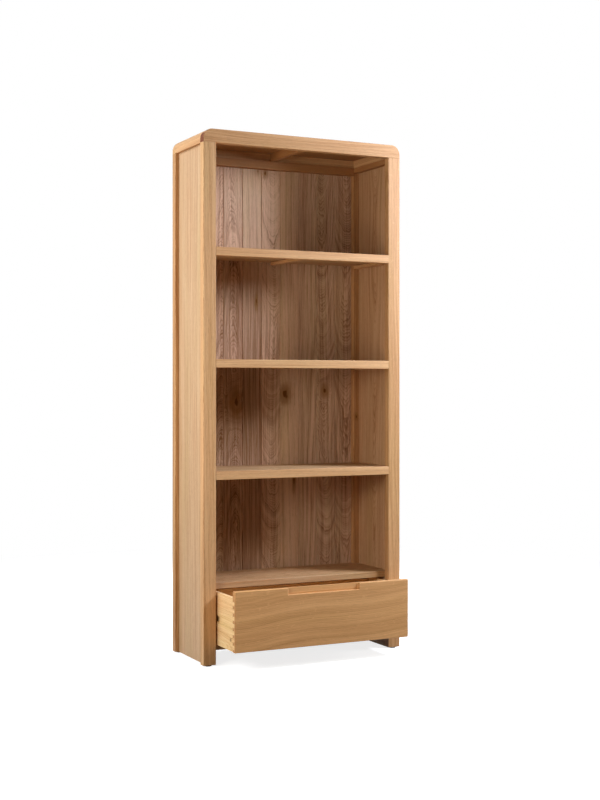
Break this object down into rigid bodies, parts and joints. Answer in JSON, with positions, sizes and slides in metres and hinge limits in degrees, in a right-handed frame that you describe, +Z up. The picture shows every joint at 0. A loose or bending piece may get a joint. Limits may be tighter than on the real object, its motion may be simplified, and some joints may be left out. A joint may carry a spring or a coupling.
{
  "type": "bookcase with bottom drawer",
  "caption": "Tall narrow oak bookcase with fixed lipped shelves, V-jointed back boards, a round-cornered top frame and a wide dovetailed bottom drawer that slides out.",
  "frame": {"origin": "on the floor, under the middle of the bookcase as it stands with its drawer partly open", "axes": "+X to the right as seen from the front, +Y from the front to the back, +Z up"},
  "size_m": [0.8, 0.46, 1.9],
  "materials": {
    "oak_frame": "matt lacquer",
    "oak_panel": "matt lacquer",
    "oak_back": "matt lacquer",
    "drawer_wood": "matt lacquer",
    "drawer_plywood": "sanded, bare",
    "runner_wood": "waxed",
    "glide_plastic": "matt"
  },
  "bodies": {
    "carcase": {"front_post_left": "oak_frame", "front_post_right": "oak_frame", "back_post_left": "oak_frame", "back_post_right": "oak_frame", "side_panel_left": "oak_panel", "side_panel_right": "oak_panel", "top_front_rail": "oak_frame", "top_back_rail": "oak_frame", "top_side_rail_left": "oak_frame", "top_side_rail_right": "oak_frame", "top_panel": "oak_panel", "top_batten": "oak_frame", "upper_side_rail_left": "oak_frame", "upper_side_rail_right": "oak_frame", "upper_back_rail": "oak_frame", "back_board_1": "oak_back", "back_board_2": "oak_back", "back_board_3": "oak_back", "back_board_4": "oak_back", "back_board_5": "oak_back", "back_board_6": "oak_back", "back_board_7": "oak_back", "back_board_8": "oak_back", "back_board_9": "oak_back", "base_shelf": "oak_panel", "bottom_front_rail": "oak_frame", "bottom_back_rail": "oak_frame", "drawer_lining_left": "oak_panel", "drawer_lining_right": "oak_panel", "drawer_bearer_left": "runner_wood", "drawer_bearer_right": "runner_wood", "drawer_runner_left": "runner_wood", "drawer_runner_right": "runner_wood", "front_glide_left": "glide_plastic", "front_glide_right": "glide_plastic", "back_glide_left": "glide_plastic", "back_glide_right": "glide_plastic", "lower_shelf_lip": "oak_frame", "lower_shelf_panel": "oak_panel", "lower_shelf_batten": "oak_frame", "lower_shelf_cleat_left": "oak_frame", "lower_shelf_cleat_right": "oak_frame", "middle_shelf_lip": "oak_frame", "middle_shelf_panel": "oak_panel", "middle_shelf_batten": "oak_frame", "middle_shelf_cleat_left": "oak_frame", "middle_shelf_cleat_right": "oak_frame", "upper_shelf_lip": "oak_frame", "upper_shelf_panel": "oak_panel", "upper_shelf_batten": "oak_frame", "upper_shelf_cleat_left": "oak_frame", "upper_shelf_cleat_right": "oak_frame"},
    "drawer": {"drawer_front": "oak_frame", "drawer_side_left": "drawer_wood", "drawer_side_right": "drawer_wood", "drawer_back": "drawer_wood", "drawer_bottom": "drawer_plywood"}
  },
  "joints": [
    {"name": "drawer_slide", "type": "slide", "parent": "carcase", "child": "drawer", "axis": [0, -1, 0], "range_m": [-0.154, 0.004]}
  ]
}
